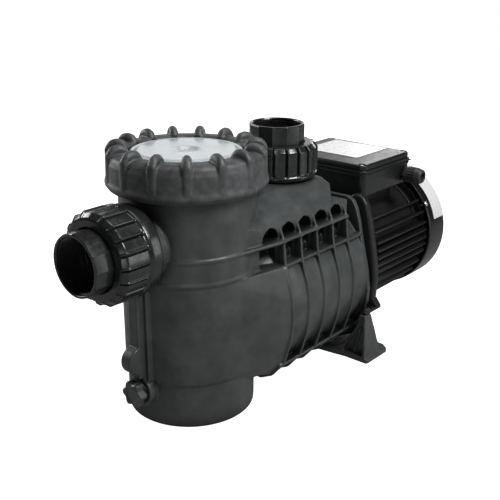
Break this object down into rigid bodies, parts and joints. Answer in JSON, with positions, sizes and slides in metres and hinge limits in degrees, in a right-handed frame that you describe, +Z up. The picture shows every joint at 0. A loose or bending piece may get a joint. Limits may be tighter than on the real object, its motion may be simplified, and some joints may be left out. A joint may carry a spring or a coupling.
{
  "type": "pool pump",
  "caption": "Self-priming pool pump with lidded strainer pot, ribbed volute casing, threaded pipe unions and a finned, fan-cooled electric motor on a moulded stand.",
  "frame": {"origin": "on the ground, in the pump's vertical mid-plane, half way along its overall length", "axes": "+X from the suction union towards the motor, along the shaft; +Z up; +Y to the pump's left seen from the suction end looking at the motor"},
  "size_m": [0.5636, 0.22, 0.2934],
  "materials": {
    "moulded_casing": "fine moulded grain, dark graphite",
    "gloss_fittings": "polished black",
    "fasteners": "zinc plated",
    "wet_end_moulding": "moulded, satin",
    "seals": "soft black rubber",
    "basket": "natural moulded",
    "lid_window": "milky translucent",
    "bright_steel": "ground",
    "ceramic": "lapped ceramic",
    "core_steel": "stacked laminations",
    "copper_winding": "enamelled copper wire",
    "motor_paint": "satin black paint on cast aluminium",
    "stand_moulding": "moulded grain",
    "fan_cover_gloss": "gloss black",
    "fan_moulding": "moulded",
    "blank_labels": "blank printed film",
    "terminal_box_moulding": "fine texture",
    "gland_nylon": "nylon",
    "terminal_block_plastic": "moulded",
    "capacitor_can": "drawn can"
  },
  "bodies": {
    "pump_body": {"pump_casing": "moulded_casing", "motor_bracket": "moulded_casing", "suction_union_socket": "gloss_fittings", "discharge_union_socket": "gloss_fittings", "suction_union_adaptor": "gloss_fittings", "discharge_union_adaptor": "gloss_fittings", "flange_bolt_1": "fasteners", "flange_bolt_2": "fasteners", "flange_bolt_3": "fasteners", "flange_bolt_4": "fasteners", "flange_bolt_5": "fasteners", "flange_bolt_6": "fasteners", "stand_bolt_1": "fasteners", "stand_bolt_2": "fasteners", "fan_cover_screw_1": "fasteners", "fan_cover_screw_2": "fasteners", "fan_cover_screw_3": "fasteners", "terminal_lid_screw_1": "fasteners", "terminal_lid_screw_2": "fasteners", "terminal_lid_screw_3": "fasteners", "terminal_lid_screw_4": "fasteners", "diffuser": "wet_end_moulding", "suction_union_o_ring": "seals", "discharge_union_o_ring": "seals", "casing_gasket": "seals", "terminal_box_gasket": "seals", "seal_ceramic_seat": "ceramic", "front_bearing": "bright_steel", "rear_bearing": "bright_steel", "stator_core": "core_steel", "stator_winding": "copper_winding", "motor_housing": "motor_paint", "front_end_shield": "motor_paint", "rear_end_shield": "motor_paint", "motor_stand": "stand_moulding", "fan_cover": "fan_cover_gloss", "fan_cover_label": "blank_labels", "terminal_lid_label": "blank_labels", "terminal_box": "terminal_box_moulding", "terminal_box_lid": "terminal_box_moulding", "cable_gland_body": "gland_nylon", "cable_gland_locknut": "gland_nylon", "terminal_block": "terminal_block_plastic", "run_capacitor": "capacitor_can"},
    "rotor": {"motor_shaft": "bright_steel", "rotor_core": "core_steel", "impeller": "wet_end_moulding", "impeller_screw": "fasteners", "seal_rotating_head": "bright_steel", "cooling_fan": "fan_moulding"},
    "strainer_basket": {"strainer_basket": "basket"},
    "lid": {"clear_lid": "lid_window", "lid_o_ring": "seals"},
    "lock_ring": {"lid_lock_ring": "moulded_casing"},
    "suction_nut": {"suction_union_nut": "gloss_fittings"},
    "discharge_nut": {"discharge_union_nut": "gloss_fittings"},
    "drain_washer": {"drain_plug_o_ring": "seals"},
    "drain_plug": {"drain_plug": "moulded_casing"},
    "gland_nut": {"cable_gland_nut": "gland_nylon"}
  },
  "joints": [
    {"name": "rotor_spin", "type": "hinge", "parent": "pump_body", "child": "rotor", "pos_m": [0.1674, 0, 0.1124], "axis": [1, 0, 0], "continuous": true},
    {"name": "lid_lift", "type": "slide", "parent": "pump_body", "child": "lid", "axis": [0, 0, 1], "range_m": [0, 0.3]},
    {"name": "lock_ring_turn", "type": "hinge", "parent": "lid", "child": "lock_ring", "pos_m": [-0.1326, 0, 0.27], "axis": [0, 0, 1], "continuous": true},
    {"name": "basket_lift", "type": "slide", "parent": "pump_body", "child": "strainer_basket", "axis": [0, 0, 1], "range_m": [0, 0.24]},
    {"name": "suction_nut_turn", "type": "hinge", "parent": "pump_body", "child": "suction_nut", "pos_m": [-0.2476, 0, 0.1981], "axis": [1, 0, 0], "continuous": true},
    {"name": "discharge_nut_turn", "type": "hinge", "parent": "pump_body", "child": "discharge_nut", "pos_m": [0.0132, 0, 0.255], "axis": [0, 0, 1], "continuous": true},
    {"name": "drain_plug_out", "type": "slide", "parent": "pump_body", "child": "drain_washer", "axis": [-1, 0, 0], "range_m": [0, 0.03]},
    {"name": "drain_plug_turn", "type": "hinge", "parent": "drain_washer", "child": "drain_plug", "pos_m": [-0.2176, 0, 0.038], "axis": [1, 0, 0], "continuous": true},
    {"name": "gland_nut_turn", "type": "hinge", "parent": "pump_body", "child": "gland_nut", "pos_m": [0.1984, -0.08, 0.204], "axis": [0, 1, 0], "continuous": true}
  ],
  "couplings": [
    {"joint": "basket_lift", "follows": "lid_lift", "ratio": 0.8}
  ]
}
